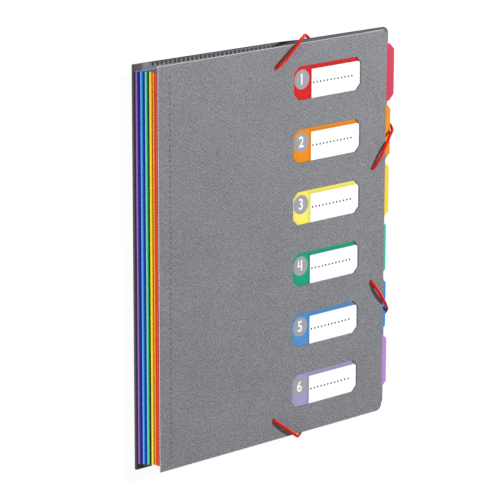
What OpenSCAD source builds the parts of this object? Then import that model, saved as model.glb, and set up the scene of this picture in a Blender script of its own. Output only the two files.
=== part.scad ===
// Document portfolio: an A4 sorter of embossed polypropylene, closed and lying on its back cover.
// Eight leaves, front cover, six coloured dividers and back cover, are sewn one behind the other.
// Each leaf behind the front cover is one sheet: a panel, a round fold at the spine and a short flap.
// The flap is sewn to the panel in front of it, so the spine is a row of seven round folds.
// +X points from the spine to the open edge, +Y to the top edge, +Z out of the front cover.

/* [Covers] */
// Height of both covers
cover_h = 320; // [290:1:350]
// Width of the front cover
front_w = 238; // [228:1:270]
// Thickness of the cover sheet
cover_t = 0.8; // [0.6:0.1:1]
// Radius of the covers' two outer corners
corner_r = 7.5; // [3:0.5:14]
// How far the back cover reaches past the front cover
back_reach = 8.5; // [4:0.5:12]

/* [Dividers] */
// How far the dividers stay inside the covers' top and bottom edges
divider_in = 5; // [1:0.5:10]
// Thickness of the divider sheet
divider_t = 0.5; // [0.3:0.1:0.7]
// How far the dividers stay inside the front cover's open edge
divider_inset = 8; // [4:1:14]
// How far each tab reaches past the front cover, front divider first
tab_reach = [11.2, 8.4, 8.6, 7, 8.4, 10.8]; // [5:0.2:14]
// Height of a tab
tab_h = 47; // [30:1:48]
// Distance of the first tab's middle from the covers' top edge
tab_first = 36.5; // [32:0.5:42]
// Distance of the last tab's middle from the covers' bottom edge
tab_last = 39.5; // [32:0.5:42]
// Cut corner of a tab
tab_cut = 5; // [2:0.5:9]

/* [Spine] */
// Outer radius of a fold
fold_r = 1.25; // [1.1:0.05:1.6]
// Room between a flap and the panel that it is sewn to
sew_gap = 0.15; // [0.1:0.05:0.3]
// How far the front cover reaches left of the first fold's centre
front_over = 0.6; // [0:0.1:0.8]
// How far each fold stands out past the one in front of it
fan = [0.4, 1.2, 2, 2.4, 2.4, 1.6]; // [0.2:0.1:3]
// Width of the sewn flaps, from the fold's centre
flap_w = 14.5; // [13:0.5:20]
// Distance of the seam from the front cover's left edge
seam_in = 11.2; // [8:0.2:12]
// Distance from one stitch to the next
stitch_pitch = 4; // [3:0.5:6]
// Room for the needle hole between two stitches
stitch_room = 1; // [0.6:0.1:1.6]
// Width of the sewing thread
thread_w = 0.6; // [0.3:0.1:0.9]
// Height of the thread above the sheet
thread_t = 0.3; // [0.2:0.1:0.5]

/* [Closed file] */
// Height of the front cover's underside at its open edge
front_edge_z = 10.7; // [10.2:0.1:14]
// Height of the last divider's underside at its open edge
last_edge_z = 4; // [3.6:0.1:4.4]
// Spacing of the dividers at their open edges
edge_pitch = 0.85; // [0.75:0.05:0.95]

/* [Windows and labels] */
// Width of a window
window_w = 72; // [50:1:76]
// Height of a window
window_h = 27; // [20:1:34]
// Cut corner of a window
window_cut = 5; // [2:0.5:9]
// Distance of the first window's middle from the top edge
window_first = 32; // [31:0.5:38]
// Distance of the last window's middle from the bottom edge
window_last = 36; // [31:0.5:38]
// Distance of the windows from the front cover's open edge
window_in = 28.5; // [26:0.5:36]
// How far a label reaches under the cover round its window
label_lap = 3; // [2:0.5:4]
// Thickness of a label card
label_t = 0.25; // [0.2:0.05:0.4]
// Thickness of the clear pocket behind the labels
pocket_t = 0.25; // [0.2:0.05:0.4]
// Width of the pocket's welded border
weld_w = 4; // [2:0.5:5]
// Play of a label in its pocket
label_play = 0.05; // [0.03:0.01:0.1]

/* [Elastics] */
// Diameter of the round elastic
elastic_d = 2.4; // [2:0.1:2.4]
// Diameter of a punched hole
hole_d = 3.2; // [3:0.1:4]
// Distance of the upper and lower holes from the windows' left side
hole_gap = 19.5; // [12:0.5:40]
// Distance of the upper and lower holes from the top and bottom edges
hole_in_y = 16.7; // [12:0.5:24]
// Distance of the two side holes from the open edge
hole_in_x = 14.2; // [12:0.2:18]
// Height of the side holes above and below the middle
hole_y = 47.3; // [40:1:52]
// How far past its upper or lower hole the elastic crosses the edge
cross_run = 22; // [18:1:40]
// How far the elastic moves along the top or bottom edge while it turns round it
edge_run = 22; // [12:1:26]
// Where the elastic crosses the open edge, above and below the middle
cross_y = 67; // [60:1:74]
// How far the elastic moves along the open edge while it turns round it
side_run = 14; // [6:1:18]
// Length of the metal bar on each end of the elastic
bar_l = 12; // [8:0.5:16]
// Diameter of the bar
bar_d = 1.5; // [1:0.1:1.6]
// Room between the elastic and the sheets that it crosses
elastic_gap = 0.15; // [0.1:0.05:0.3]
// Width of the bend where a corner of the back cover is drawn up
bend_w = 18; // [12:1:24]

/* [Hidden] */
$fn = 64;

divider_h = cover_h - 2 * divider_in;
tab_pitch = (cover_h - tab_first - tab_last) / 5;
window_pitch = (cover_h - window_first - window_last) / 5;
window_x = front_w - window_in - window_w;   // these three from the front cover's left edge
hole_x = window_x - hole_gap;
cross_x = hole_x + cross_run;

LEAVES = 7;                                  // leaves with a fold: six dividers and the back cover
sew_pitch = 2 * fold_r + sew_gap;            // rise from one fold to the next
function fan_sum(k) = k < 2 ? 0 : fan[k - 2] + fan_sum(k - 1);
function fold_x(k) = front_over - fan_sum(k);              // centre of fold k, 1 is the front divider's
function fold_z(k) = fold_r + (LEAVES - k) * sew_pitch;
function leaf_t(k) = k == LEAVES ? cover_t : divider_t;
function leaf_h(k) = k == LEAVES ? cover_h : divider_h;

// rise of each leaf from the spine to the open edge, 0 is the front cover and 7 the flat back cover
divider_edge = front_w - divider_inset;
front_z0 = fold_z(1) + fold_r + sew_gap;
function edge_z(k) = last_edge_z + (LEAVES - 1 - k) * edge_pitch;
function rise(k) = k == 0 ? atan((front_edge_z - front_z0) / front_w)
    : k == LEAVES ? 0
    : atan((edge_z(k) - fold_z(k) + fold_r) / (divider_edge - fold_x(k)));
function front_under(x) = fold_z(1) + (fold_r + sew_gap) / cos(rise(0)) + tan(rise(0)) * (x - fold_x(1));
function front_top(x) = front_under(x) + cover_t / cos(rise(0));

// overall box, for an origin in the middle of the footprint
back_edge = front_w + back_reach;
left_x = fold_x(LEAVES) - fold_r;
elastic_r = elastic_d / 2;
side_x = max(back_edge, front_w + max(tab_reach[1], tab_reach[4]));
out_x = side_x + elastic_r + 2 * elastic_gap;              // the elastic passes the open edge here
right_x = max(front_w + max(tab_reach), out_x + elastic_r);
mid_x = (left_x + right_x) / 2;

// the drawn-up corners of the back cover: the elastic runs below them, clear of the table
corner_lift = elastic_d + elastic_gap + 0.05;
run_x = cross_x + edge_run;                  // where it reaches the back cover's edges
run_y = cross_y + side_run;
run_turn = atan2(back_edge - run_x, cover_h / 2 - run_y);       // turn from +X to the corner
bend_in = bend_w + elastic_d + 3;            // the bend starts this far inside the elastic
bar_gap = 0.1;                               // room between a bar and the cover above it

function window_y(i) = cover_h / 2 - window_first - i * window_pitch;
function tab_y(i) = cover_h / 2 - tab_first - i * tab_pitch;
SKIN = ["crimson", "orange", "gold", "mediumseagreen", "dodgerblue", "mediumpurple"];

// places what it holds on the front cover: x from its left edge, z up from its underside
module on_front() {
    translate([fold_x(1) - mid_x, 0, fold_z(1)]) rotate([0, -rise(0), 0])
        translate([-front_over, 0, fold_r + sew_gap]) children();
}

// places what it holds on leaf k: x from its fold's centre, z up from the panel's underside
module on_leaf(k) {
    translate([fold_x(k) - mid_x, 0, fold_z(k)]) rotate([0, -rise(k), 0])
        translate([0, 0, -fold_r]) children();
}

// outline of a cover from x = 0, with its two outer corners rounded
module cover_plan(w) {
    translate([0, -cover_h / 2]) square([w - corner_r, cover_h]);
    translate([0, corner_r - cover_h / 2]) square([w, cover_h - 2 * corner_r]);
    for (s = [-1, 1]) translate([w - corner_r, s * (cover_h / 2 - corner_r)]) circle(corner_r);
}

// rectangle w by h about the middle of its left side, with cut corners
module cut_plan(w, h, c) {
    polygon([[0, c - h / 2], [c, -h / 2], [w - c, -h / 2], [w, c - h / 2],
        [w, h / 2 - c], [w - c, h / 2], [c, h / 2], [0, h / 2 - c]]);
}

// round fold of leaf k with its flap, which lies along the panel in front, and its panel w wide
module fold_strip(k, w) {
    a0 = 270 + rise(k);
    a1 = 90 + rise(k - 1);
    far = 4 * fold_r;
    translate([fold_x(k) - mid_x, 0, fold_z(k)]) rotate([90, 0, 0])
        linear_extrude(leaf_h(k), center = true) {
            difference() {
                circle(fold_r);
                circle(fold_r - leaf_t(k));
                polygon([[0, 0], far * [cos(a0), sin(a0)], [far, -far], [far, far], far * [cos(a1), sin(a1)]]);
            }
            rotate(rise(k - 1)) translate([0, fold_r - leaf_t(k)]) square([flap_w, leaf_t(k)]);
            if (w > 0) rotate(rise(k)) translate([0, -fold_r]) square([w, leaf_t(k)]);
        }
}

// what is cut from the panel of divider k, above and below its tab
module tab_sides(k) {
    w = divider_edge - fold_x(k);
    e = front_w + tab_reach[k - 1] - fold_x(k);
    y = tab_y(k - 1);
    h = divider_h / 2 + 1;
    t = tab_h / 2;
    c = t - tab_cut - 1;
    polygon([[w, y + t], [e - tab_cut, y + t], [e + 1, y + c], [e + 1, h], [w, h]]);
    polygon([[w, y - t], [e - tab_cut, y - t], [e + 1, y - c], [e + 1, -h], [w, -h]]);
}

module divider(k) {
    color(SKIN[k - 1]) difference() {
        fold_strip(k, front_w + tab_reach[k - 1] - fold_x(k));
        on_leaf(k) translate([0, 0, -1]) linear_extrude(divider_t + 2) tab_sides(k);
    }
}

// row of stitches that holds the next leaf's flap to the panel of divider k
module seam(k) {
    l = divider_h - 2 * stitch_pitch;
    color(SKIN[k - 1]) on_leaf(k)
        translate([seam_in - front_over, -l / 2, divider_t]) cube([thread_w, l, thread_t]);
}

module front_cover() {
    color("dimgray") on_front() linear_extrude(cover_t) difference() {
        cover_plan(front_w);
        for (i = [0:5]) translate([window_x, window_y(i)]) cut_plan(window_w, window_h, window_cut);
        for (s = [-1, 1]) {
            translate([hole_x, s * (cover_h / 2 - hole_in_y)]) circle(d = hole_d);
            translate([front_w - hole_in_x, s * hole_y]) circle(d = hole_d);
        }
    }
}

// visible stitches on the front cover, one between each two needle holes
module front_seam() {
    n = floor(divider_h / stitch_pitch) - 1;
    l = stitch_pitch - stitch_room;
    color("gray") on_front() for (i = [0:n - 1])
        translate([seam_in - thread_w / 2, (i - (n - 1) / 2) * stitch_pitch - l / 2, cover_t])
            cube([thread_w, l, thread_t]);
}

// index card behind window i, which shows its coloured field and its writing field
module label(i) {
    w = window_w + 2 * label_lap;
    h = window_h + 2 * label_lap;
    color(SKIN[i]) on_front() translate([window_x - label_lap, window_y(i) - h / 2, -label_play - label_t])
        cube([w, h, label_t]);
}

// clear sheet welded to the inside of the front cover, with a cell for each label
module label_pocket() {
    w = window_w + 2 * label_lap + 2 * label_play;
    h = window_h + 2 * label_lap + 2 * label_play;
    deep = label_t + 2 * label_play;
    all_h = 5 * window_pitch + h + 2 * weld_w;
    low_y = window_y(5) - h / 2 - weld_w;
    color("whitesmoke", 0.4) on_front() translate([window_x - label_lap - label_play, 0, 0]) difference() {
        translate([-weld_w, low_y, -deep - pocket_t]) cube([w + 2 * weld_w, all_h, deep + pocket_t]);
        for (i = [0:5]) translate([0, window_y(i) - h / 2, -deep]) cube([w, h, deep + 1]);
    }
}

// half-plane that holds the drawn-up upper corner, from lap inside the start of its bend
module corner_zone(lap) {
    translate([run_x - mid_x, cover_h / 2]) rotate(90 - run_turn) translate([-bend_in - lap, -cover_h])
        square([2 * cover_h, 2 * cover_h]);
}

// the back cover's sheet where it is drawn up: flat, a smooth step, flat again
module corner_bend() {
    steps = 12;
    function lift(u) = corner_lift * u * u * (3 - 2 * u);
    line = concat([[-bend_w, 0]], [for (i = [0:steps]) [bend_w * i / steps, lift(i / steps)]],
        [[cover_h, corner_lift]]);
    n = len(line);
    translate([run_x - mid_x, cover_h / 2, 0]) rotate([0, 0, 90 - run_turn])
        translate([-bend_in, 0, 0]) rotate([90, 0, 0]) linear_extrude(4 * cover_h, center = true)
            polygon(concat(line, [for (i = [n - 1:-1:0]) line[i] + [0, cover_t]]));
}

module back_plan() {
    translate([fold_x(LEAVES) - mid_x, 0]) cover_plan(back_edge - fold_x(LEAVES));
}

module back_cover() {
    color("dimgray") {
        linear_extrude(cover_t) difference() {
            back_plan();
            corner_zone(0);
            mirror([0, 1]) corner_zone(0);
        }
        for (m = [0, 1]) mirror([0, m, 0]) intersection() {
            linear_extrude(corner_lift + 2 * cover_t) intersection() {
                back_plan();
                corner_zone(bend_w / 4);
            }
            corner_bend();
        }
        fold_strip(LEAVES, 0);
    }
}

// route of the upper elastic's middle line: hole, top edge, below the corner, open edge, hole
off = elastic_r + elastic_gap;
run_z = elastic_r + 0.1;
top_y = cover_h / 2;
h1 = [hole_x, top_y - hole_in_y];
h2 = [front_w - hole_in_x, hole_y];
c1 = [cross_x, top_y];
c2 = [front_w, cross_y];
out_y = top_y + 2.4 * elastic_r;             // the elastic stands off the edges that it turns round
hook_r = off + cover_t - 0.05;               // bend out of a hole
turn_r = 2.6 * elastic_r;                    // bend over an edge of the front cover
low_r = 1.2 * elastic_r;                     // bend below an edge of the back cover
edge_top = front_top(front_w) + off;
tab_top = edge_z(2) + divider_t;
function along(a, b, d) = a + d * (b - a) / norm(b - a);
function on_top(p) = [p[0], p[1], front_top(p[0]) + off];
function hook(h, c, turn) = let (q = along(h, c, hook_r * (1 - cos(turn))))
    [q[0], q[1], front_top(h[0]) + off - hook_r * (1 - sin(turn))];
first_half = concat(
    [for (w = [0:18:90]) hook(h1, c1, w)],
    [on_top(along(h1, c1, 14)), on_top(along(c1, h1, 4))],
    [for (w = [90:-18:0]) [c1[0] + edge_run * (90 - w) / 320, out_y + turn_r * (cos(w) - 1),
        front_top(c1[0]) + off + turn_r * (sin(w) - 1)]],
    [[c1[0] + 0.58 * edge_run, out_y, (front_top(c1[0]) + run_z) / 2]],
    [for (w = [0:-18:-90]) [c1[0] + edge_run * (0.82 - w / 500), out_y + low_r * (cos(w) - 1),
        run_z + low_r * (1 + sin(w))]]
);
function side_y(part) = cross_y + part * side_run;
last_half = concat(
    [for (w = [-90:18:0]) [out_x + low_r * (cos(w) - 1), side_y(0.82 - w / 500), run_z + low_r * (1 + sin(w))]],
    [[out_x, side_y(0.62), tab_top - 1.5], [out_x - 0.5, side_y(0.42), tab_top + 1.4],
        [(out_x + front_w) / 2 + 1, side_y(0.21), (tab_top + edge_top) / 2 + 1.1],
        [front_w + 2.4, side_y(0.06), edge_top - 0.5], on_top(along(c2, h2, 2)), on_top(along(h2, c2, 14))],
    [for (w = [90:-18:0]) hook(h2, c2, w)]
);
route = concat(first_half, last_half);

function unit(v) = v / norm(v);

// round tube along a line of points
module tube(p, r, sides) {
    n = len(p);
    d = [for (i = [0:n - 2]) unit(p[i + 1] - p[i])];
    t = [for (i = [0:n - 1]) unit(d[max(0, i - 1)] + d[min(n - 2, i)])];
    side = [for (i = 0, v = unit(cross(t[0], [1, 0.3, 0.2])); i < n;
        i = i + 1, v = i < n ? unit(v - (v * t[i]) * t[i]) : v) v];
    points = [for (i = [0:n - 1], j = [0:sides - 1]) let (a = 360 * j / sides)
        p[i] + r * (cos(a) * side[i] + sin(a) * cross(t[i], side[i]))];
    function at(i, j) = i * sides + j % sides;
    walls = [for (i = [0:n - 2], j = [0:sides - 1], f = [[at(i, j), at(i + 1, j + 1), at(i, j + 1)],
        [at(i, j), at(i + 1, j), at(i + 1, j + 1)]]) f];
    polyhedron(points, concat([[for (j = [0:sides - 1]) at(0, j)], [for (j = [sides - 1:-1:0]) at(n - 1, j)]], walls));
}

module elastic() {
    color("red") translate([-mid_x, 0, 0]) tube(route, elastic_r, 8);
}

// metal bars that keep the elastic's ends from slipping out of their holes
module elastic_bars() {
    color("silver") on_front() for (h = [h1, h2])
        translate([h[0], h[1], -bar_gap - bar_d / 2]) rotate([90, 0, 0]) cylinder(h = bar_l, d = bar_d, center = true);
}

module elastic_top() { elastic(); }
module elastic_bottom() { mirror([0, 1, 0]) elastic(); }
module elastic_bars_top() { elastic_bars(); }
module elastic_bars_bottom() { mirror([0, 1, 0]) elastic_bars(); }

front_cover();
front_seam();
label(0);  // label_1
label(1);  // label_2
label(2);  // label_3
label(3);  // label_4
label(4);  // label_5
label(5);  // label_6
label_pocket();
elastic_top();
elastic_bottom();
elastic_bars_top();
elastic_bars_bottom();
divider(1);  // divider_red
divider(2);  // divider_orange
divider(3);  // divider_yellow
divider(4);  // divider_green
divider(5);  // divider_blue
divider(6);  // divider_violet
seam(1);  // seam_red
seam(2);  // seam_orange
seam(3);  // seam_yellow
seam(4);  // seam_green
seam(5);  // seam_blue
seam(6);  // seam_violet
back_cover();
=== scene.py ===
# %% [markdown]
# # A six-part document portfolio
# The object is an A4 sorter of grey polypropylene with six coloured dividers, held shut by two red
# elastics. It lies on its back cover, as it would on a desk. The solids of every leaf, label, seam and
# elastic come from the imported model, and this lesson dresses them: each sheet is cut flat, thickened and
# folded, as in the factory, so that prints and embossing run round the folds by themselves.

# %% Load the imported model
import math

import bpy
import numpy as np
from mathutils import Matrix, Vector
from mathutils.geometry import delaunay_2d_cdt


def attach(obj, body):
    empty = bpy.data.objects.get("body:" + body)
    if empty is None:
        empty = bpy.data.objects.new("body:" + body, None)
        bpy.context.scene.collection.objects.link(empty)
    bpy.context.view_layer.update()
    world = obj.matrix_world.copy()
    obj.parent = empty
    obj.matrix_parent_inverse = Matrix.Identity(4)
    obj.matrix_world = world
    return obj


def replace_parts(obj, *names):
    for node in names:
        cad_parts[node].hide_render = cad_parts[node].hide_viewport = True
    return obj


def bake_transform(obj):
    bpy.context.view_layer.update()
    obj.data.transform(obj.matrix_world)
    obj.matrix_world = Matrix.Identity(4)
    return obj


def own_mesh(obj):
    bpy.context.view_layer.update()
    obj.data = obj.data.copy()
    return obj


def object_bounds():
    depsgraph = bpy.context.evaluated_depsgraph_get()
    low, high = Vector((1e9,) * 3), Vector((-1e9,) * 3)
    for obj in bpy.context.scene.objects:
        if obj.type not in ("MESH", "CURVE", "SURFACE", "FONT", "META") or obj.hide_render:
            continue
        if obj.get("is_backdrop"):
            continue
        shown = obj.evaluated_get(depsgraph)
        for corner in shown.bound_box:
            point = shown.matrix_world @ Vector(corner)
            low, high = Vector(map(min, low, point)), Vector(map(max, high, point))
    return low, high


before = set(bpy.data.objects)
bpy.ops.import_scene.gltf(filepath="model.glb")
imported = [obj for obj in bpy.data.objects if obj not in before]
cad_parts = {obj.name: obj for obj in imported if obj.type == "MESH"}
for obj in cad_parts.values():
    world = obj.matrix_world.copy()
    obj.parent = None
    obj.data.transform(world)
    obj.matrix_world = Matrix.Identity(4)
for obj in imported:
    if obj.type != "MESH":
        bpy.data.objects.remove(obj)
scene = bpy.context.scene
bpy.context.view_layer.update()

# %% [markdown]
# ## Sizes
# All lengths are millimetres from the front cover's left edge, the height's middle and the table, as in
# the part's source. A point goes to Blender's metres only at the end, when its mesh is made. Fold number 1
# is the red divider's, and number 7 the back cover's. The stack is thicker at the spine than at the open
# edge, so every leaf but the back cover slopes a little.

# %% Sizes and slopes of the sheets
COLOURS = ("red", "orange", "yellow", "green", "blue", "violet")
MID_X, GAP = 119.275, 0.15
COVER_H, FRONT_W, COVER_T, CORNER_R, BACK_EDGE = 320.0, 238.0, 0.8, 6.0, 246.5
FRONT_LOW, FRONT_HIGH = 10.7, 18.55
SHEET_H, SHEET_T, SHEET_EDGE, EDGE_Z, EDGE_STEP = 310.0, 0.5, 230.0, 4.0, 0.85
TAB_REACH, TAB_H, TAB_CUT = (11.2, 8.4, 8.6, 7.0, 8.4, 10.8), 47.0, 5.0
TAB_TOP, TAB_PITCH = 123.5, 48.8
TAB_Y = [TAB_TOP - TAB_PITCH * i for i in range(6)]
FOLD_R, FLAP_W = 1.25, 14.5
FOLD_X = (0.6, 0.2, -1.0, -3.0, -5.4, -7.8, -9.4)
FOLD_Z = (17.15, 14.5, 11.85, 9.2, 6.55, 3.9, 1.25)
WINDOW_X, WINDOW_W, WINDOW_H, WINDOW_CUT = 137.5, 72.0, 27.0, 5.0
WINDOW_TOP, WINDOW_PITCH = 128.0, 50.4
WINDOW_Y = [WINDOW_TOP - WINDOW_PITCH * i for i in range(6)]
SEAM_X, SHEET_SEAM_X, STITCH, STITCHES = 11.2, 10.9, 4.0, 76


def edge_low(k):
    """Height of a divider's underside at its outer edge, with 0 for the red one."""
    return EDGE_Z + (5 - k) * EDGE_STEP


front_rise = math.atan((FRONT_LOW - FRONT_HIGH) / FRONT_W)
sheet_rise = [math.atan((edge_low(k) - FOLD_Z[k] + FOLD_R) / (SHEET_EDGE - FOLD_X[k])) for k in range(6)]
RISE = [front_rise, *sheet_rise, 0.0]
print("slope of each leaf in degrees:", [round(math.degrees(a), 2) for a in RISE])

# %% [markdown]
# ## Camera
# The photograph was taken with a long lens from the spine side, well above the middle. The lens and the
# place were found by fitting the projected corners of both covers to the picture, which gives a rotation
# about three axes. Blender's camera looks along its own -Z, so its world rotation is that matrix turned
# round.

# %% Place the camera
CAMERA_TURN, CAMERA_WAY = (39.648, 15.003, -0.182), (81.347, 14.08, 2129.295)
FOCAL_PX, PICTURE_PX = 2784.5, 500
yaw, pitch, roll = (math.radians(a) for a in CAMERA_TURN)
turn = Matrix.Rotation(roll, 3, "Z") @ Matrix.Rotation(pitch, 3, "X") @ Matrix.Rotation(yaw, 3, "Y")
eye = turn.transposed() @ Vector(CAMERA_WAY) - Vector((MID_X, 0, 0))
camera = bpy.data.objects.new("camera", bpy.data.cameras.new("camera"))
camera.data.sensor_width = 36
camera.data.lens = FOCAL_PX / PICTURE_PX * camera.data.sensor_width
camera.data.clip_end = 20
camera.matrix_world = Matrix.Translation(eye / 1000) @ turn.transposed().to_4x4()
scene.collection.objects.link(camera)
scene.camera = camera
print("camera at", [round(v, 3) for v in camera.location], "lens", round(camera.data.lens, 1))

# %% [markdown]
# ## Light
# The shadows of the elastics fall to the lower left, so the main lamp stands at the upper right, beyond the
# open edge, and is small enough for the weave to show. A dim lamp beyond the top edge lights the gaps
# between the sheets, and a soft one on the spine's side rounds the folds. A sky would light all sides
# alike and flatten the folds, so the world is faint.

# %% Lamps and world
AMBIENT = 0.17


def soft_lamp(name, place, size, watts):
    """A round lamp of this size in metres, turned to the object's middle."""
    lamp = bpy.data.objects.new(name, bpy.data.lights.new(name, "AREA"))
    lamp.data.shape, lamp.data.size, lamp.data.energy = "DISK", size, watts
    lamp.location = place
    lamp.rotation_euler = (-Vector(place)).to_track_quat("-Z", "Y").to_euler()
    scene.collection.objects.link(lamp)


soft_lamp("lamp_key", (1.75, 0.8, 1.62), 0.31, 69)
soft_lamp("lamp_top", (-0.4, 2.2, 0.45), 0.8, 12)
soft_lamp("lamp_spine", (-1.65, -0.35, 0.4), 0.9, 21)
scene.view_settings.view_transform = "Standard"
scene.world = bpy.data.worlds.new("studio")
scene.world.use_nodes = True
sky = scene.world.node_tree.nodes["Background"].inputs
sky["Color"].default_value = (1, 1, 1, 1)
sky["Strength"].default_value = AMBIENT


# %% [markdown]
# ## Finishes as sums
# Embossed plastic, printed card and braided cord are patterns of distances, so their shaders are written
# as sums. A small class stands for a node's output: +, -, * and comparisons on it add Math nodes, and
# every other node comes from one method of the finish. Drawing the nodes by hand would need hundreds of
# links, and a sum is easier to read again.

# %% The finish and its wires
class Wire:
    """A node's output that takes part in Python sums."""

    def __init__(self, finish, socket):
        self.finish, self.socket = finish, socket

    def sum(self, operation, *terms):
        return self.finish.node("Math", {"operation": operation}, dict(enumerate(terms)))

    def __add__(self, other):
        return self.sum("ADD", self, other)

    __radd__ = __add__

    def __sub__(self, other):
        return self.sum("SUBTRACT", self, other)

    def __rsub__(self, other):
        return self.sum("SUBTRACT", other, self)

    def __mul__(self, other):
        return self.sum("MULTIPLY", self, other)

    __rmul__ = __mul__

    def __truediv__(self, other):
        return self.sum("DIVIDE", self, other)

    def __rtruediv__(self, other):
        return self.sum("DIVIDE", other, self)

    def __mod__(self, other):
        return self.sum("FLOORED_MODULO", self, other)

    def __rmod__(self, other):
        return self.sum("FLOORED_MODULO", other, self)

    def __pow__(self, other):
        return self.sum("POWER", self, other)

    def __rpow__(self, other):
        return self.sum("POWER", other, self)

    def __lt__(self, other):
        return self.sum("LESS_THAN", self, other)

    def __gt__(self, other):
        return self.sum("GREATER_THAN", self, other)

    def __abs__(self):
        return self.sum("ABSOLUTE", self)

    def larger(self, other):
        return self.sum("MAXIMUM", self, other)

    def wave(self):
        return self.sum("SINE", self * (2 * math.pi))

    def step(self, low, high):
        """0 below low, 1 above high, smooth between; low may be the larger."""
        return self.finish.node("MapRange", {"interpolation_type": "SMOOTHSTEP"},
                                {"Value": self, "From Min": low, "From Max": high})


class Finish:
    """One material: its node tree, and the method that adds each node."""

    def __init__(self, name):
        self.material = bpy.data.materials.new(name)
        self.material.use_nodes = True
        self.tree = self.material.node_tree
        self.tree.nodes.clear()

    def node(self, kind, settings=None, inputs=None, out=0):
        made = self.tree.nodes.new("ShaderNode" + kind)
        for key, value in (settings or {}).items():
            setattr(made, key, value)
        for key, value in (inputs or {}).items():
            if isinstance(value, Wire):
                self.tree.links.new(value.socket, made.inputs[key])
            else:
                made.inputs[key].default_value = value
        return Wire(self, made.outputs[out]) if made.outputs else None

    def flat(self):
        """Where a point was on its sheet before folding: across, up and through it, in millimetres."""
        place = self.node("Attribute", {"attribute_name": "flat"}, out="Vector")
        return place, [self.node("SeparateXYZ", None, {0: place}, out=i) for i in range(3)]

    def mix(self, mask, a, b):
        return self.node("Mix", {"data_type": "RGBA"}, {0: mask, 6: a, 7: b}, out=2)

    def noise(self, place, scale, detail=2.0):
        return self.node("TexNoise", None, {"Vector": place, "Scale": scale, "Detail": detail})

    def bump(self, height, distance):
        """A normal from a height of 0 to 1 that stands for this distance in millimetres."""
        return self.node("Bump", None, {"Distance": distance / 1000, "Height": height})

    def surface(self, shader):
        self.node("OutputMaterial", None, {"Surface": shader})
        return self.material

    def skin(self, **sockets):
        named = {key.replace("_", " "): value for key, value in sockets.items()}
        return self.surface(self.node("BsdfPrincipled", None, named))


def ink(*screen):
    """A colour as a screen shows it, 0 to 255, for Blender's linear sockets."""
    return (*[v / 255 / 12.92 if v < 11 else ((v / 255 + 0.055) / 1.055) ** 2.4 for v in screen], 1.0)


print("a screen grey of 128 is", round(ink(128, 128, 128)[0], 3), "in linear light")

# %% [markdown]
# ## Floor
# The object lies on white paper. It could be lit until it is white, but that light would also wash out the
# object. So the paper is a dull grey that keeps a faint shadow, and it glows for the camera, for
# reflections and for what is seen through the film alone.

# %% White floor
FLOOR_SIZE, FLOOR_GREY, FLOOR_GLOW = 14, 0.14, 0.92
bpy.ops.mesh.primitive_plane_add(size=FLOOR_SIZE, location=(0, 0, 0))
floor = bpy.context.object
floor.name = "floor"
paper = Finish("floor_white")
seen = [paper.node("LightPath", out=i) for i in ("Is Camera Ray", "Is Glossy Ray", "Is Transmission Ray")]
lit = paper.node("BsdfDiffuse", None, {"Color": (FLOOR_GREY, FLOOR_GREY, FLOOR_GREY, 1)})
glow = paper.node("Emission", None, {"Color": (1, 1, 1, 1),
                                     "Strength": (seen[0] + seen[1] + seen[2]) * FLOOR_GLOW})
floor.data.materials.append(paper.surface(paper.node("AddShader", None, {0: lit, 1: glow})))
floor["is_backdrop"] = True
print("floor:", [round(v, 1) for v in floor.dimensions], "m")

# %% [markdown]
# ## Cover sheet
# The covers are grey polypropylene, embossed by the roller with a twill: fine ridges that run down to the
# right, broken along their length, with a grain between them. Where the seam runs, each needle hole is a
# small dent with painted shade in it, and the cut walls of the windows get painted shade. The front cover's
# top edge and the cut edges near the spine get a painted highlight. The back cover's top strip gets painted
# shade and a row of dark marks like a comb, and its fold gets painted shade. An image would blur close by,
# so the pattern is a sum that is read from the flat sheet, and it follows the spine's fold.

# %% Embossed grey sheet
TWILL_SLANT, TWILL_PITCH, COURSE_PITCH = math.radians(45), 1.98, 2.6
COMB_Y, COMB_FALL, COMB_PITCH, COMB_START = 158.2, 0.012, 4.2, (8.0, 10.0)
STRIP_Y, TOP_LINE, TOP_EDGE_HIGHLIGHT_Y = (154.4, 155.4), (159.0, 159.6), (159.2, 159.7)
WALL_DEPTH = (COVER_T / 2 - 0.02, COVER_T / 2 - 0.08)
# Pale grey painted on cut edges as a highlight.
CUT_EDGE_HIGHLIGHT = ink(232, 232, 236)


def twill(sheet, place, across, up):
    """The embossing's height, about 0 in its middle, and the grain in it."""
    ridge = (across * math.sin(TWILL_SLANT) + up * math.cos(TWILL_SLANT)) / TWILL_PITCH
    course = (across * math.cos(TWILL_SLANT) - up * math.sin(TWILL_SLANT)) / COURSE_PITCH
    broken, patch = sheet.noise(place, 0.3, 3.0), sheet.noise(place, 0.16, 2.0)
    grain = sheet.noise(place, 0.75, 4.0)
    floats = (course + ridge * 0.5 - broken * 1.2).wave() * 0.5 + 0.6
    ribs = (ridge + broken * 1.15).wave() * (patch.step(0.3, 0.65) * 0.8 + 0.3) * floats
    return ribs * 0.46 + grain * 1.6 - 0.8, grain


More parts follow.
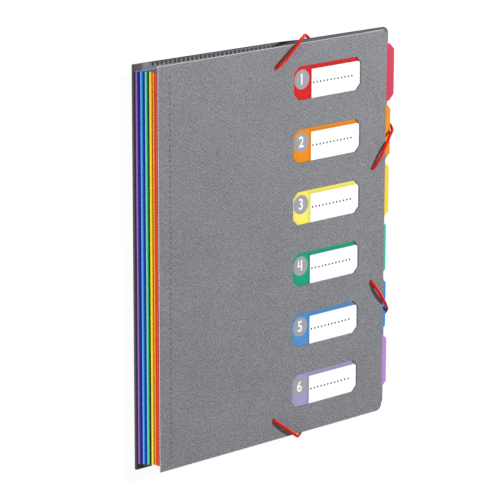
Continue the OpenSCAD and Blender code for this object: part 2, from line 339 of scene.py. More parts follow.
def back_marks_and_painted_shade(sheet, colour, across, up, through):
    """Painted shade on the back cover's top strip, its comb of dark marks, and painted shade on its fold."""
    start = across.step(*COMB_START)
    rise = up + across * COMB_FALL - COMB_Y
    tooth = (((across / COMB_PITCH) % 1.0 - 0.5) ** 2.0 * 20.0 + (rise * 0.8) ** 2.0) ** 0.5
    comb = tooth.step(1.55, 1.15) * start * across.step(170.0, 120.0)
    strip = up.step(*STRIP_Y) * through.step(0.1, 0.3)
    # Painted shade: the top strip is darkened as if the front cover shaded it, more towards the right and
    # above the comb.
    painted_strip_shade = across.step(90.0, 190.0) * 0.3 + rise.step(0.1, 1.0) * 0.36
    colour = sheet.mix(strip * painted_strip_shade, colour, ink(54, 54, 58))
    # Painted shade: the fold at the spine is darkened.
    fold = across.step(0.6, -0.6) * across.step(-12.0, -8.0)
    colour = sheet.mix(fold * 0.85, colour, ink(50, 44, 43))
    marks = strip * comb.larger(up.step(*TOP_LINE)) * start
    return sheet.mix(marks * 0.92, colour, ink(22, 22, 24)), marks


def front_marks_and_painted_light(sheet, colour, across, up, cut):
    """The front cover's needle holes with painted shade in them, a painted highlight on its top edge and
    painted shade on its window walls.
    """
    gap = abs((up / STITCH) % 1.0 - 0.5) * STITCH
    reach = ((across - SEAM_X) ** 2.0 + gap ** 2.0) ** 0.5
    marks = reach.step(0.95, 0.45) * abs(up).step(154.0, 152.0)
    # Painted shade: the needle holes are darkened as if shade falls in them.
    colour = sheet.mix(marks * 0.95, colour, ink(26, 26, 28))
    # Painted highlight: a pale line along the top edge, as if it caught the light.
    colour = sheet.mix(up.step(*TOP_EDGE_HIGHLIGHT_Y) * 0.5, colour, CUT_EDGE_HIGHLIGHT)
    # Painted shade: the cut walls of the windows are darkened.
    painted_wall_shade = cut * across.step(120.0, 136.0) * across.step(216.0, 212.0)
    return sheet.mix(painted_wall_shade * 0.8, colour, ink(30, 30, 33)), marks


def cover_finish(name, back):
    sheet = Finish(name)
    place, (across, up, through) = sheet.flat()
    height, grain = twill(sheet, place, across, up)
    tone = height * 0.36 + sheet.noise(place, 0.02, 2.0) * 0.1 + 0.43
    colour = sheet.mix(tone.step(0.0, 1.0), ink(54, 55, 60), ink(165, 166, 172))
    cut = abs(through).step(*WALL_DEPTH)
    if back:
        colour, marks = back_marks_and_painted_shade(sheet, colour, across, up, through)
    else:
        colour, marks = front_marks_and_painted_light(sheet, colour, across, up, cut)
    # Painted highlight: the cut edges near the spine are paled, strongly on the front cover and faintly on the
    # back.
    colour = sheet.mix(cut * across.step(5.0, 2.0) * (0.1 if back else 0.9), colour, CUT_EDGE_HIGHLIGHT)
    return sheet.skin(Base_Color=colour, Roughness=0.52 + grain * 0.16,
                      Normal=sheet.bump(height - marks, 0.05))


cover_front_finish = cover_finish("cover_twill", False)
cover_back_finish = cover_finish("cover_twill_back", True)
for finish in (cover_front_finish, cover_back_finish):
    print("finish", finish.name, "with", len(finish.node_tree.nodes), "nodes")

# %% [markdown]
# ## Divider sheet
# The dividers are thinner polypropylene in clear, strong colours. The sheet has the fine sand grain of its
# casting roller and a soft sheen, and a narrow paler line just past the panel's edge, in the tab. The fold
# at the spine is painted with light and shade in three tones: a painted highlight where it faces the lamp, a
# middle one, and painted shade in the groove towards the next leaf. One colour for the whole sheet would
# leave the spine dull.

# %% Coloured sheets
SHEET_INK = {"red": (214, 58, 86), "orange": (248, 150, 8), "yellow": (255, 226, 48),
             "green": (60, 198, 172), "blue": (56, 150, 234), "violet": (200, 144, 222)}
# Painted light and shade for each fold: highlight, middle tone and groove shade.
FOLD_LIGHT_AND_SHADE_INK = {
    "red": ((240, 80, 0), (188, 34, 0), (120, 10, 0)),
    "orange": ((255, 186, 60), (232, 64, 0), (196, 36, 0)),
    "yellow": ((255, 255, 40), (255, 208, 0), (176, 92, 0)),
    "green": ((168, 242, 204), (36, 196, 146), (0, 70, 54)),
    "blue": ((104, 212, 255), (28, 138, 232), (0, 64, 196)),
    "violet": ((176, 120, 226), (100, 56, 170), (70, 18, 150))}


def sheet_finish(name, colour, fold_light_and_shade):
    sheet = Finish(name)
    place, (across, *_) = sheet.flat()
    grain = sheet.noise(place, 1.9, 3.0)
    cloud = sheet.noise(place, 0.03, 2.0)
    deep = ink(*[v * 0.965 for v in colour])
    pale = ink(*[v + (255 - v) * 0.28 for v in colour])
    tinted = sheet.mix(cloud.step(0.3, 0.7), deep, ink(*colour))
    # A paler line across the sheet, 1.5 mm past the panel's edge.
    edge = abs(across - (SHEET_EDGE + 1.5)).step(1.4, 0.3)
    tinted = sheet.mix(edge * 0.5 + grain * 0.12, tinted, pale)
    # Painted light: in the fold these tones replace the sheet's own colour, a highlight towards the lamp, a
    # middle tone and shade in the groove.
    light, middle, painted_groove_shade = (ink(*t) for t in fold_light_and_shade)
    bend = sheet.mix(across.step(-2.3, -1.5), middle, light)
    bend = sheet.mix(across.step(-2.7, -3.3), bend, painted_groove_shade)
    tinted = sheet.mix(across.step(0.6, -0.2) * across.step(-8.0, -6.0), tinted, bend)
    return sheet.skin(Base_Color=tinted, Roughness=0.34 + grain * 0.14, Specular_IOR_Level=0.35,
                      Normal=sheet.bump(grain, 0.03))


sheet_finishes = {c: sheet_finish("sheet_" + c, SHEET_INK[c], FOLD_LIGHT_AND_SHADE_INK[c]) for c in COLOURS}
print("divider finishes:", len(sheet_finishes))

# %% [markdown]
# ## Cutting and folding
# A real divider is stamped from a flat sheet and then creased. The same two steps make every leaf here.
# First the outline with its holes is filled with triangles: a constrained triangulation keeps the cut
# edges, the crease lines and a few inner points. Then the flat triangles are doubled into a top and a
# bottom, walled round with a small bevel, and each point is sent to its place by a rule of the leaf's own.
# A subdivided box would have no crease, and a bent plane no cut edge.

# %% Helpers that cut a flat sheet
def arc(centre, radius, start, end, steps=8):
    """Points on a circle from one angle to another, in degrees."""
    turns = [math.radians(start + (end - start) * i / steps) for i in range(steps + 1)]
    return [(centre[0] + radius * math.cos(t), centre[1] + radius * math.sin(t)) for t in turns]


def inside(points, loop):
    """Which points lie inside a closed outline."""
    x, y = points[:, :1], points[:, 1:2]
    a, b = np.array(loop), np.roll(np.array(loop), -1, axis=0)
    run = np.where(a[:, 1] == b[:, 1], 1e-9, b[:, 1] - a[:, 1])
    crossed = ((a[:, 1] > y) != (b[:, 1] > y)) & (x < (b[:, 0] - a[:, 0]) * (y - a[:, 1]) / run + a[:, 0])
    return crossed.sum(1) % 2 == 1


def cut_sheet(outline, holes=(), creases=(), seeds=()):
    """Flat points and triangles of a sheet with these edges, holes, crease lines and inner points."""
    points, edges = [], []
    for loop in (outline, *holes):
        n = len(points)
        points += [Vector(p) for p in loop]
        edges += [(n + i, n + (i + 1) % len(loop)) for i in range(len(loop))]
    for a, b in creases:
        edges.append((len(points), len(points) + 1))
        points += [Vector(a), Vector(b)]
    points += [Vector(p) for p in seeds]
    found, _, faces, *_ = delaunay_2d_cdt(points, edges, [], 0, 1e-5)
    flat, faces = np.array([tuple(p) for p in found]), np.array(faces)
    middle = flat[faces].mean(1)
    keep = inside(middle, outline)
    for loop in holes:
        keep &= ~inside(middle, loop)
    faces = faces[keep]
    a, b, c = (flat[faces[:, i]] for i in range(3))
    ccw = np.cross(b - a, c - a) > 0
    faces[~ccw] = faces[~ccw][:, ::-1]
    used, faces = np.unique(faces, return_inverse=True)
    return flat[used], faces.reshape(-1, 3)


print("a disc cut for a test:", len(cut_sheet(arc((0, 0), 5, 0, 345, 23))[1]), "triangles")


# %% Helpers that thicken and place
def new_piece(name, points, faces, flat, finish, smooth=35.0):
    """A mesh object from points in millimetres, with the flat place of each point kept on it."""
    mesh = bpy.data.meshes.new(name)
    world = (np.asarray(points, float) - (MID_X, 0, 0)) / 1000
    mesh.from_pydata(world.tolist(), [], [list(map(int, f)) for f in faces])
    kept = mesh.attributes.new("flat", "FLOAT_VECTOR", "POINT")
    kept.data.foreach_set("vector", np.asarray(flat, np.float32).ravel())
    mesh.shade_smooth()
    mesh.set_sharp_from_angle(angle=math.radians(smooth))
    mesh.materials.append(finish)
    piece = bpy.data.objects.new(name, mesh)
    scene.collection.objects.link(piece)
    return piece


def thick_sheet(name, cut, thickness, place, finish, bevel=0.1):
    """Thickens a cut sheet, rounds its edge and sends every point (across, up, through) to place()."""
    flat, faces = cut
    n = len(flat)
    sides = np.concatenate([faces[:, [0, 1]], faces[:, [1, 2]], faces[:, [2, 0]]])
    pairs = {tuple(e) for e in sides.tolist()}
    rim = [(a, b) for a, b in pairs if (b, a) not in pairs]
    inward = np.zeros((n, 2))
    for a, b in rim:
        run = flat[b] - flat[a]
        across = np.array((-run[1], run[0])) / np.hypot(*run)
        inward[a] += across
        inward[b] += across
    length = np.hypot(inward[:, 0], inward[:, 1])
    on_rim = np.nonzero(length > 0)[0]
    inward[on_rim] *= (2 / np.maximum(length[on_rim] ** 2, 0.5))[:, None]
    inner = flat + inward * bevel
    half = thickness / 2
    ring = {int(v): i for i, v in enumerate(on_rim)}
    m = len(on_rim)
    layers = [(inner, half), (inner, -half), (flat[on_rim], half - bevel), (flat[on_rim], bevel - half)]
    points = np.concatenate([np.column_stack([p, np.full(len(p), h)]) for p, h in layers])
    made = [tuple(f) for f in faces] + [tuple(f + n) for f in faces[:, ::-1]]
    for a, b in rim:
        i, j = 2 * n + ring[a], 2 * n + ring[b]
        made += [(a, i, j, b), (i, i + m, j + m, j), (i + m, a + n, b + n, j + m)]
    return new_piece(name, place(points), made, points, finish)


def on_front(points):
    """From (across, up, height above the front cover's underside) to the object's frame."""
    x, up, h = (np.asarray(points, float)[:, i] for i in range(3))
    x, h = x - FOLD_X[0], h + FOLD_R + GAP
    c, s = math.cos(front_rise), math.sin(front_rise)
    return np.column_stack([FOLD_X[0] + x * c - h * s, up, FOLD_Z[0] + x * s + h * c])


print("the front cover's underside ends at", on_front([(FRONT_W, 0, 0)])[0].round(2).tolist())

# %% [markdown]
# ## Front cover
# One flat sheet with six windows with cut corners and four punched holes. It slopes from the thick spine
# down to the thin open edge, so its rule is a small turn about the first fold. Holes cut with a Boolean
# would leave long thin faces, so they are part of the outline that is cut.

# %% Front cover
HOLES, HOLE_R = [(118.0, 143.3), (223.8, 47.3)], 1.6


def cover_outline(left, right):
    y, r = COVER_H / 2, CORNER_R
    return [(left, -y), *arc((right - r, r - y), r, -90, 0), *arc((right - r, y - r), r, 0, 90), (left, y)]


def window(y):
    l, r, h, c = WINDOW_X, WINDOW_X + WINDOW_W, WINDOW_H / 2, WINDOW_CUT
    return [(l, y - h + c), (l + c, y - h), (r - c, y - h), (r, y - h + c),
            (r, y + h - c), (r - c, y + h), (l + c, y + h), (l, y + h - c)]


punched = [arc((x, s * y), HOLE_R, 0, 345, 23) for x, y in HOLES for s in (-1, 1)]
front_cut = cut_sheet(cover_outline(0, FRONT_W), [window(y) for y in WINDOW_Y] + punched)
front_cover = thick_sheet("cover_front", front_cut, COVER_T,
                          lambda p: on_front(p + (0, 0, COVER_T / 2)), cover_front_finish)
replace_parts(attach(front_cover, "front_cover"), "front_cover")
print("front cover:", len(front_cover.data.polygons), "faces")

# %% [markdown]
# ## Folded leaves
# Each divider, and the back cover, is a panel, a round fold at the spine and a short flap that is sewn to
# Measured along the sheet, the panel starts at 0, the fold lies just below it and the
# flap lies lower still, so one rule with three cases folds the flat sheet.

# %% Rule of a fold
FOLD_PARTS = 16


def fold_rule(k, thickness):
    """The folding rule of leaf k, 1 to 7, and the length of its fold along the middle of the sheet."""
    centre, radius = np.array((FOLD_X[k - 1], FOLD_Z[k - 1])), FOLD_R - thickness / 2
    start, end = math.radians(270) + RISE[k], math.radians(90) + RISE[k - 1]
    length = radius * (start - end)

    def place(points):
        across, up, through = (points[:, i] for i in range(3))
        angle = np.clip(start + across / radius, end, start)
        panel, flap = np.maximum(across, 0), np.maximum(-length - across, 0)
        spread = radius - through
        x = centre[0] + spread * np.cos(angle) + panel * math.cos(RISE[k]) + flap * math.cos(RISE[k - 1])
        z = centre[1] + spread * np.sin(angle) + panel * math.sin(RISE[k]) + flap * math.sin(RISE[k - 1])
        return np.column_stack([x, up, z])

    return place, length


def fold_creases(bend, half):
    """Lines up the sheet that let a fold of this length turn in equal parts."""
    runs = [-bend * i / FOLD_PARTS for i in range(FOLD_PARTS + 1)]
    return [((x, -half), (x, half)) for x in runs]


def hang(piece):
    """Bakes the piece's place into its mesh.
    """
    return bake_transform(piece)


print("the dividers' folds in mm:", [round(fold_rule(k, SHEET_T)[1], 2) for k in range(1, 7)])

# %% [markdown]
# ## Dividers
# The six sheets differ only in their colour, in the place of their fold and in the height and reach of
# their tab, so one loop cuts and folds them all. Each outline goes round the panel, out to the tab with its
# cut corners, and back to the flap.

# %% Six dividers
dividers = {}
for k, colour in enumerate(COLOURS, 1):
    rule, bend = fold_rule(k, SHEET_T)
    edge, tip, left = SHEET_EDGE - FOLD_X[k - 1], FRONT_W + TAB_REACH[k - 1] - FOLD_X[k - 1], -bend - FLAP_W
    h, low, high = SHEET_H / 2, TAB_Y[k - 1] - TAB_H / 2, TAB_Y[k - 1] + TAB_H / 2
    outline = [(left, -h), (edge, -h), (edge, low), (tip - TAB_CUT, low), (tip, low + TAB_CUT),
               (tip, high - TAB_CUT), (tip - TAB_CUT, high), (edge, high), (edge, h), (left, h)]
    cut = cut_sheet(outline, (), fold_creases(bend, h))
    piece = thick_sheet("sheet_" + colour, cut, SHEET_T, rule, sheet_finishes[colour], bevel=0.08)
    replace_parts(hang(piece), "divider_" + colour)
    dividers[colour] = len(piece.data.polygons)
print("faces of the dividers:", dividers)

# %% [markdown]
# ## Back cover
# The back cover folds as the dividers do. Where the elastics pass behind its two outer corners, the pull
# draws the corner up by a little more than the cord, in a soft bend along the cord's run. A modifier could
# bend it, but the rule that folds the sheet does it in one step.

# %% Back cover
CROSS_X, CROSS_Y, EDGE_RUN, SIDE_RUN, LIFT = 140.0, 67.0, 22.0, 14.0, 2.6
BEND_FROM, BEND_WIDTH, SEED_FROM, SEED_STEP = -23.4, 18.0, -32, 4.0
RUN_X = CROSS_X + EDGE_RUN
RUN = math.atan2(BACK_EDGE - RUN_X, COVER_H / 2 - CROSS_Y - SIDE_RUN)
back_rule, back_bend = fold_rule(7, COVER_T)
back_width = BACK_EDGE - FOLD_X[6]


def past_run(x, y):
    """How far a point lies past the cord's run behind the upper corner, towards the corner."""
    return (x - RUN_X) * math.sin(RUN) + (y - COVER_H / 2) * math.cos(RUN)


def back_place(points):
    placed = back_rule(points)
    for s in (-1, 1):
        away = past_run(placed[:, 0], s * placed[:, 1])
        t = np.clip((away - BEND_FROM) / BEND_WIDTH, 0, 1) * (points[:, 0] > 0)
        placed[:, 2] += LIFT * t * t * (3 - 2 * t)
    return placed


def split_edges(loop, step):
    """The same outline with points no more than step apart."""
    made = []
    for a, b in zip(np.array(loop), np.roll(np.array(loop), -1, axis=0)):
        n = max(1, int(np.ceil(np.hypot(*(b - a)) / step)))
        made += [tuple(a + (b - a) * i / n) for i in range(n)]
    return made


seeds = [(a, b) for a in np.arange(110, back_width - 3, SEED_STEP) for b in np.arange(-156, 157, SEED_STEP)
         if abs(b) > 20 and past_run(a + FOLD_X[6], abs(b)) > SEED_FROM]
outline = split_edges(cover_outline(-back_bend - FLAP_W, back_width), SEED_STEP)
back_cut = cut_sheet(outline, (), fold_creases(back_bend, COVER_H / 2), seeds)
back_cover = thick_sheet("cover_back", back_cut, COVER_T, back_place, cover_back_finish)
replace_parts(hang(back_cover), "back_cover")
print("back cover:", len(back_cover.data.polygons), "faces")

# %% [markdown]
# ## Sewing
# The seam is a row of lockstitches of twisted thread. A stitch is a short loop that rises from one needle
# hole and dives into the next, thick in the middle and pulled thin at its ends. A printed line would have
# no shadow, so each stitch is a small closed mesh. The front cover's thread is grey and each divider's
# takes the sheet's colour.

# %% Thread finish and stitches
STITCH_LEN, THREAD_R, THREAD_RISE, THREAD_DIVE = 3.2, 0.3, 0.09, 0.06


def thread_finish(name, colour):
    thread = Finish(name)
    place, (across, up, _) = thread.flat()
    twist = (up / 0.75 + across / 0.9).wave()
    fuzz = thread.noise(place, 6.0, 2.0)
    tone = thread.mix((twist * 0.3 + fuzz).step(0.1, 0.9), ink(*[v * 0.72 for v in colour]), ink(*colour))
    return thread.skin(Base_Color=tone, Roughness=0.62, Normal=thread.bump(twist, 0.06))


def stitch_row(name, x, count, place, finish, rings=7, sides=8):
    """Stitches in a row along the height, each between two needle holes."""
    points, faces, flat = [], [], []
    for i in range(count):
        y0, base = (i - (count - 1) / 2) * STITCH, len(points)
        for r in range(rings):
            t = r / (rings - 1)
            y, swell = y0 + STITCH_LEN * (t - 0.5), math.sin(math.pi * (0.08 + 0.84 * t)) ** 0.6
            for j in range(sides):
                a = 2 * math.pi * j / sides
                high = THREAD_RISE * swell * (1 + math.sin(a)) - THREAD_DIVE * (1 - swell)
                points.append((x + THREAD_R * swell * math.cos(a), y, high))
                flat.append((THREAD_R * math.cos(a), y, math.sin(a)))
        for r in range(rings - 1):
            for j in range(sides):
                a, b = base + r * sides + j, base + r * sides + (j + 1) % sides
                faces.append((a + sides, b + sides, b, a))
        end = base + (rings - 1) * sides
        faces += [tuple(range(base, base + sides)), tuple(range(end, end + sides))[::-1]]
    return new_piece(name, place(np.array(points)), faces, flat, finish, 60.0)


front_seam = stitch_row("stitches_front", SEAM_X, STITCHES, lambda p: on_front(p + (0, 0, COVER_T)),
                        thread_finish("thread_grey", (142, 143, 148)))
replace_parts(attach(front_seam, "front_cover"), "front_seam")
for k, colour in enumerate(COLOURS, 1):
    rule, _ = fold_rule(k, SHEET_T)
    row = stitch_row("stitches_" + colour, SHEET_SEAM_X, STITCHES, lambda p: rule(p + (0, 0, SHEET_T / 2)),
                     thread_finish("thread_" + colour, SHEET_INK[colour]), rings=5, sides=6)
    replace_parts(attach(row, "divider_" + colour), "seam_" + colour)
print("seams:", len(COLOURS) + 1, "rows of", STITCHES, "stitches")

# %% [markdown]
# ## Labels
# Behind each window lies a printed card: a coloured field, a grey disc for the number, and a white field
# to write on with a dotted line. Cards are cut with rounded corners, and the print is a sum of distances
# on the flat card, so it stays sharp at any size. All places on it are measured from the window's left edge
# and its middle.

# %% Print of a card
LABEL_INK = {"red": (216, 18, 14), "orange": (241, 142, 0), "yellow": (252, 241, 106),
             "green": (20, 162, 124), "blue": (82, 146, 208), "violet": (167, 157, 200)}
DISC, DISC_R = (8.9, 2.7), 7.95
BORDER_X, BORDER_Y, FIELD_X, FIELD_Y = 16.4, 12.3, 19.25, 9.8
DOT_START, DOT_END, DOT_PITCH, DOT_Y = 19.6, 64.0, 3.75, -1.3


def label_finish(name, colour):
    card = Finish(name)
    place, (across, up, through) = card.flat()
    fibre = card.noise(place, 3.0, 4.0)
    base = card.mix(fibre.step(0.3, 0.7), ink(*[v * 0.95 for v in colour]), ink(*colour))
    border = across.step(BORDER_X, BORDER_X + 0.3) * up.step(BORDER_Y, BORDER_Y - 0.3)
    base = card.mix(border * 0.4, base, ink(*[v * 0.78 for v in colour]))
    field = across.step(FIELD_X, FIELD_X + 0.15) * up.step(FIELD_Y, FIELD_Y - 0.15)
    base = card.mix(field, base, ink(252, 252, 253))
    reach = ((across - DISC[0]) ** 2.0 + (up - DISC[1]) ** 2.0) ** 0.5
    base = card.mix(reach.step(DISC_R, DISC_R - 0.15), base, ink(158, 160, 166))
    dot = (((across - DOT_START) % DOT_PITCH - DOT_PITCH / 2) ** 2.0 + (up - DOT_Y) ** 2.0) ** 0.5
    row = dot.step(0.95, 0.7) * (across > DOT_START) * (across < DOT_END)
    base = card.mix(row, base, ink(36, 36, 42))
    return card.skin(Base_Color=card.mix(through > 0.0, ink(246, 246, 244), base),
                     Roughness=0.5 + fibre * 0.12, Specular_IOR_Level=0.2, Normal=card.bump(fibre, 0.02))


label_finishes = {c: label_finish("label_" + c, LABEL_INK[c]) for c in COLOURS}
print("label finishes:", len(label_finishes))

# %% [markdown]
# ## Numbers
# The numbers are printed in white. They could be part of the sum, but curves are hard to write as
# distances, so they are flat meshes just above the card. Most are Blender's own type. The 1 with its flag
# and the open 4 have other forms than that type, so they are cut like the cards.

# %% White numbers
CUT_DIGITS = {
    "1": [(-0.75, -4.1), (0.6, -4.1), (0.6, 4.7), (-0.35, 4.7), (-1.35, 3.7), (-1.35, 2.6), (-0.75, 3.0)],
    "4": [(0.55, -3.8), (1.9, -3.8), (1.9, 4.8), (0.55, 4.8), (0.55, 0.5), (-1.7, 0.25), (-1.05, 4.5),
          (-2.3, 4.5), (-3.2, -0.95), (0.55, -0.75)]}
TYPE_SIZE, TYPE_BOLD, TYPE_NARROW, TYPE_RISE = 12.4, 0.2, 0.9, 0.4

print_white = Finish("print_white")
where, _ = print_white.flat()
white = print_white.mix(print_white.noise(where, 3.0, 3.0), ink(246, 246, 247), ink(255, 255, 255))
numeral_finish = print_white.skin(Base_Color=white, Roughness=0.5)


def typed(text):
    """Points and faces of a digit in Blender's own type, about the middle of its disc."""
    curve = bpy.data.curves.new("numeral", "FONT")
    curve.body, curve.size, curve.offset, curve.resolution_u = text, TYPE_SIZE, TYPE_BOLD, 6
    curve.align_x, curve.fill_mode = "CENTER", "FRONT"
    shape = bpy.data.objects.new("numeral", curve)
    scene.collection.objects.link(shape)
    bpy.context.view_layer.update()
    mesh = shape.evaluated_get(bpy.context.evaluated_depsgraph_get()).to_mesh()
    points = np.array([v.co for v in mesh.vertices])
    faces = [tuple(f.vertices) for f in mesh.polygons]
    shape.to_mesh_clear()
    bpy.data.objects.remove(shape)
    middle = (points.max(0) + points.min(0)) / 2
    return (points - middle) * (TYPE_NARROW, 1, 1) + (0, TYPE_RISE, 0), faces


def numeral(text, x, y, h):
    """A digit as a flat mesh, on a disc at x, y of the front cover and h above the cover's underside."""
    if text in CUT_DIGITS:
        flat, faces = cut_sheet(CUT_DIGITS[text])
        points = np.column_stack([flat, np.zeros(len(flat))])
    else:
        points, faces = typed(text)
    return new_piece("numeral_" + text, on_front(points + (x, y, h)), faces, points, numeral_finish)


print("digits that are cut:", list(CUT_DIGITS))

# %% [markdown]
# ## Cards in their places
# Each card is a little larger than its window and lies close under the cover, so that no gap shows at the
# window's edge when it is seen at a slant.

# %% Six labels
CARD_T, CARD_MARGIN, CARD_R, CARD_MIDDLE, PRINT_H = 0.25, 3, 1.5, -0.175, -0.04
card_right, card_left = WINDOW_W + CARD_MARGIN - CARD_R, CARD_R - CARD_MARGIN
card_top = WINDOW_H / 2 + CARD_MARGIN - CARD_R
corners = [(card_right, -card_top, -90), (card_right, card_top, 0),
           (card_left, card_top, 90), (card_left, -card_top, 180)]
card_outline = [p for x, y, a in corners for p in arc((x, y), CARD_R, a, a + 90, 4)]
for i, colour in enumerate(COLOURS):
    card = thick_sheet("label_card_%d" % (i + 1), cut_sheet(card_outline), CARD_T,
                       lambda p: on_front(p + (WINDOW_X, WINDOW_Y[i], CARD_MIDDLE)),
                       label_finishes[colour], bevel=0.04)
    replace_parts(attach(card, "front_cover"), "label_%d" % (i + 1))
    digit = numeral(str(i + 1), WINDOW_X + DISC[0], WINDOW_Y[i] + DISC[1], PRINT_H)
    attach(digit, "front_cover")
print("labels:", len(COLOURS), "cards with a number each")

# %% [markdown]
# ## Label pocket
# Behind the cards a clear sheet is welded to the inside of the front cover. Its solid already has the
# right shape, so it keeps it and only gets a finish: a thin, slightly hazy film.

# %% Clear pocket
film = Finish("film_clear")
haze = film.noise(film.node("TexCoord", out="Object"), 900.0, 3.0)
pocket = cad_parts["label_pocket"]
pocket.data.materials.clear()
pocket.data.materials.append(film.skin(Base_Color=ink(236, 240, 242), Roughness=0.16 + haze * 0.14,
                                       Alpha=0.2 + haze * 0.1, Normal=film.bump(haze, 0.02)))
print("label pocket:", len(pocket.data.polygons), "faces")

# %% [markdown]
# ## Way of the elastics
# Each elastic is a round braided cord. It comes out of a punched hole, runs up over the top edge, passes
# below the back cover's corner and returns over the open edge, past a tab, to a second hole. The route is
# close to the one of the solid, with a little spring off the cover, and it is written for the upper
# elastic: the lower one is its mirror image. A simulated cord would hang, but this one is stretched all
# along, so its way is known.

# %% Route of the upper elastic
R, SPRING = 1.2, 1.2
OFF, RUN_Z = R + GAP, R + 0.1
OUT_X, OUT_Y = BACK_EDGE + R + 2 * GAP, COVER_H / 2 + 2.4 * R
HOOK, EDGE_BEND, FOOT_BEND = OFF + COVER_T - 0.05, 2.6 * R, 1.2 * R
upper, side = HOLES
top_cross, side_cross = (CROSS_X, COVER_H / 2), (FRONT_W, CROSS_Y)


def front_top(x):
    """Height of the front cover's outer face."""
    return FOLD_Z[0] + (FOLD_R + GAP + COVER_T) / math.cos(front_rise) + math.tan(front_rise) * (x - FOLD_X[0])


def along(a, b, d):
    a, b = np.array(a), np.array(b)
    return a + d * (b - a) / np.linalg.norm(b - a)


def on_top(p, spring=0.0):
    return (p[0], p[1], front_top(p[0]) + OFF + spring)


def hook(hole, edge, degrees):
    """A point on the quarter turn that leads out of a hole, towards an edge."""
    t = math.radians(degrees)
    q = along(hole, edge, HOOK * (1 - math.cos(t)))
    return (q[0], q[1], front_top(hole[0]) + OFF - HOOK * (1 - math.sin(t)))


def corner_arc(start, stop):
    return [math.radians(start + (stop - start) * i / 5) for i in range(6)]


def elastic_route(tab_top):
    """The upper elastic's way, past a tab whose face is at this height."""
    cross_top, edge_top = front_top(CROSS_X), front_top(FRONT_W) + OFF
    route = [hook(upper, top_cross, w) for w in range(0, 91, 30)]
    route += [on_top(along(upper, top_cross, 8), 0.9), on_top(along(upper, top_cross, 16), SPRING),
              on_top(along(top_cross, upper, 4), 0.5)]
    route += [(CROSS_X + EDGE_RUN * (90 - math.degrees(w)) / 320, OUT_Y + EDGE_BEND * (math.cos(w) - 1),
               cross_top + OFF + EDGE_BEND * (math.sin(w) - 1)) for w in corner_arc(90, 0)]
    route += [(CROSS_X + 0.58 * EDGE_RUN, OUT_Y, (cross_top + RUN_Z) / 2)]
    route += [(CROSS_X + EDGE_RUN * (0.82 - math.degrees(w) / 500), OUT_Y + FOOT_BEND * (math.cos(w) - 1),
               RUN_Z + FOOT_BEND * (1 + math.sin(w))) for w in corner_arc(0, -90)]
    route += [(OUT_X + FOOT_BEND * (math.cos(w) - 1), CROSS_Y + SIDE_RUN * (0.96 - math.degrees(w) / 2250),
               RUN_Z + FOOT_BEND * (1 + math.sin(w))) for w in corner_arc(-90, 0)]
    route += [(OUT_X - 0.1, CROSS_Y + 0.87 * SIDE_RUN, max(tab_top - 1.9, 3.6)),
              (OUT_X - 0.1, CROSS_Y + 0.7 * SIDE_RUN, tab_top + 0.1),
              (OUT_X - 0.9, CROSS_Y + 0.56 * SIDE_RUN, tab_top + 1.4),
              ((OUT_X + FRONT_W) / 2, CROSS_Y + 0.32 * SIDE_RUN, (tab_top + edge_top) / 2 + 0.4),
              (FRONT_W + 1.6, CROSS_Y + 0.08 * SIDE_RUN, edge_top - 0.4)]
    route += [on_top(along(side_cross, side, 2), 0.3), on_top(along(side, side_cross, 14), SPRING),
              on_top(along(side, side_cross, 8), 0.9)]
    return np.array(route + [hook(side, side_cross, w) for w in range(90, -1, -30)])


print("the cord leaves the cover at", elastic_route(edge_low(1) + SHEET_T)[0].round(1).tolist())

# %% [markdown]
# ## Braided cord
# The route is smoothed by cutting its corners three times, and a tube is laid along it. A curve with a
# bevel gives the same shape, but this tube also keeps how far along and round it each point lies, which is
# what the braid's pattern needs.

# %% Braid and tube
CORD_STEP, BRAID_PITCH, BRAID_STRANDS = 0.8, 1.5, 4.0


def cord_finish():
    cord = Finish("braid_red")
    place, (along_mm, round_turns, _) = cord.flat()
    left = (along_mm / BRAID_PITCH + round_turns * BRAID_STRANDS).wave()
    right = (along_mm / BRAID_PITCH - round_turns * BRAID_STRANDS).wave()
    braid = left.larger(right)
    fuzz = cord.noise(place, 4.0, 2.0)
    tone = cord.mix((braid * 0.4 + fuzz * 0.5).step(-0.1, 0.7), ink(176, 10, 4), ink(238, 26, 8))
    return cord.skin(Base_Color=tone, Roughness=0.42 + fuzz * 0.14, Specular_IOR_Level=0.14,
                     Normal=cord.bump(braid, 0.08))


def rounded_path(points, times=3):
    for _ in range(times):
        a, b = points[:-1], points[1:]
        cut = np.stack([a * 0.75 + b * 0.25, a * 0.25 + b * 0.75], 1).reshape(-1, 3)
        points = np.concatenate([points[:1], cut, points[-1:]])
    return points


def spaced(points):
    """The same path in equal steps, and how far along each step lies."""
    gone = np.concatenate([[0], np.cumsum(np.linalg.norm(np.diff(points, axis=0), axis=1))])
    at = np.linspace(0, gone[-1], max(8, int(gone[-1] / CORD_STEP)))
    return np.column_stack([np.interp(at, gone, points[:, i]) for i in range(3)]), at


def tube(name, path, radius, finish, sides=16):
    path, gone = spaced(path)
    run = np.gradient(path, axis=0)
    run /= np.linalg.norm(run, axis=1)[:, None]
    aside = np.cross(run[0], (1, 0.3, 0.2))
    points, flat = [], []
    for i, p in enumerate(path):
        aside = aside - run[i] * (aside @ run[i])
        aside /= np.linalg.norm(aside)
        for j in range(sides + 1):
            a = 2 * math.pi * j / sides
            points.append(p + radius * (math.cos(a) * aside + math.sin(a) * np.cross(run[i], aside)))
            flat.append((gone[i], j / sides, 0.0))
    w, n = sides + 1, len(path)
    faces = [(a, a + 1, a + w + 1, a + w) for i in range(n - 1) for a in range(i * w, i * w + sides)]
    faces += [tuple(range(sides))[::-1], tuple(range((n - 1) * w, (n - 1) * w + sides))]
    return new_piece(name, points, faces, flat, finish, 70.0)


red_cord = cord_finish()
print("braid:", len(red_cord.node_tree.nodes), "nodes")

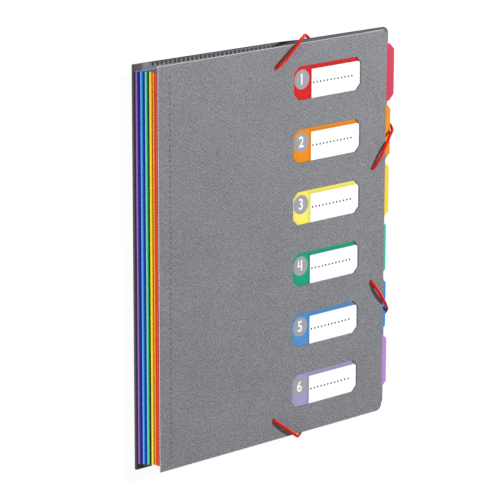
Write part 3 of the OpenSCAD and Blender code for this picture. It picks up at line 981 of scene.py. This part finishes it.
# %% [markdown]
# ## Elastics in three runs
# Before opening, a hand slips the elastic off the back cover, so the run behind is a piece of its own. It
# is parted from the ends in a plane just under the front cover, so the cord stays whole.

# %% Two elastics
SLACK = 0.4
under = on_front([(0, 0, -R - SLACK)])[0]
upright = (-math.sin(front_rise), 0.0, math.cos(front_rise))
for name, flip, tab in (("top", 1, 1), ("bottom", -1, 4)):
    route = elastic_route(edge_low(tab) + SHEET_T)
    path, _ = spaced(rounded_path(route) * (1, flip, 1))
    below = np.nonzero((path - under) @ upright < 0)[0]
    first, last = below[0], below[-1] + 1
    for part, run in (("edge", path[:first + 1]), ("rear", path[first:last + 1]), ("side", path[last:])):
        cord = tube("elastic_" + part + "_" + name, run, R, red_cord)
        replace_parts(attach(cord, "front_cover"), "elastic_" + name)
        if part == "rear":
            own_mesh(cord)
    print("elastic", name, "from", len(route), "points, rear run:", round(CORD_STEP * (last - first)), "mm")

# %% [markdown]
# ## End bars
# Inside the cover, each end of an elastic is clamped in a small steel bar that lies across its hole. The
# bar is a turned profile: round ends, a straight shank and a pressed waist where it holds the cord. Rings
# of points round that profile make it, where a plain cylinder would have no waist.

# %% Steel bars
BAR = [(0.35, 0.0), (0.6, 0.14), (0.75, 0.42), (0.75, 4.2), (0.7, 4.7), (0.56, 5.2), (0.52, 6.0),
       (0.56, 6.8), (0.7, 7.3), (0.75, 7.8), (0.75, 11.58), (0.6, 11.86), (0.35, 12.0)]
BAR_HALF, BAR_DEPTH, BAR_ROUND = 6.0, 0.85, 4.7

steel = Finish("bar_steel")
place, _ = steel.flat()
drawn = steel.node("VectorMath", {"operation": "MULTIPLY"}, {0: place, 1: (14.0, 0.6, 1.0)})
lines = steel.noise(drawn, 1.0, 3.0)
steel_finish = steel.skin(Base_Color=steel.mix(lines, ink(150, 152, 156), ink(206, 208, 210)), Metallic=1.0,
                          Roughness=0.24 + lines * 0.18, Normal=steel.bump(lines, 0.01))


def bar_pair(name, flip, sides=16):
    """The bars at both holes of one elastic."""
    points, faces, flat = [], [], []
    for x, y in HOLES:
        base = len(points)
        for radius, run in BAR:
            for j in range(sides):
                a = 2 * math.pi * j / sides
                points.append((x + radius * math.cos(a), flip * y + run - BAR_HALF,
                               radius * math.sin(a) - BAR_DEPTH))
                flat.append((j / sides * BAR_ROUND, run, radius))
        for i in range(len(BAR) - 1):
            for j in range(sides):
                a, b = base + i * sides + j, base + i * sides + (j + 1) % sides
                faces.append((a, a + sides, b + sides, b))
        end = base + (len(BAR) - 1) * sides
        faces += [tuple(range(base, base + sides)), tuple(range(end, end + sides))[::-1]]
    return new_piece(name, on_front(np.array(points)), faces, flat, steel_finish, 50.0)


for name, flip in (("top", 1), ("bottom", -1)):
    bars = bar_pair("end_bars_" + name, flip)
    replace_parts(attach(bars, "front_cover"), "elastic_bars_" + name)
    print("end bars", name + ":", len(bars.data.polygons), "faces")

# %% [markdown]
# ## Size and finish
# The dressed part's box is printed in millimetres. The dressed part has to fill the imported model's box
# and no more.

# %% Write the sizes and finish
low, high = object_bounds()
print("dressed box in mm:", [round(1000 * (b - a), 1) for a, b in zip(low, high)])
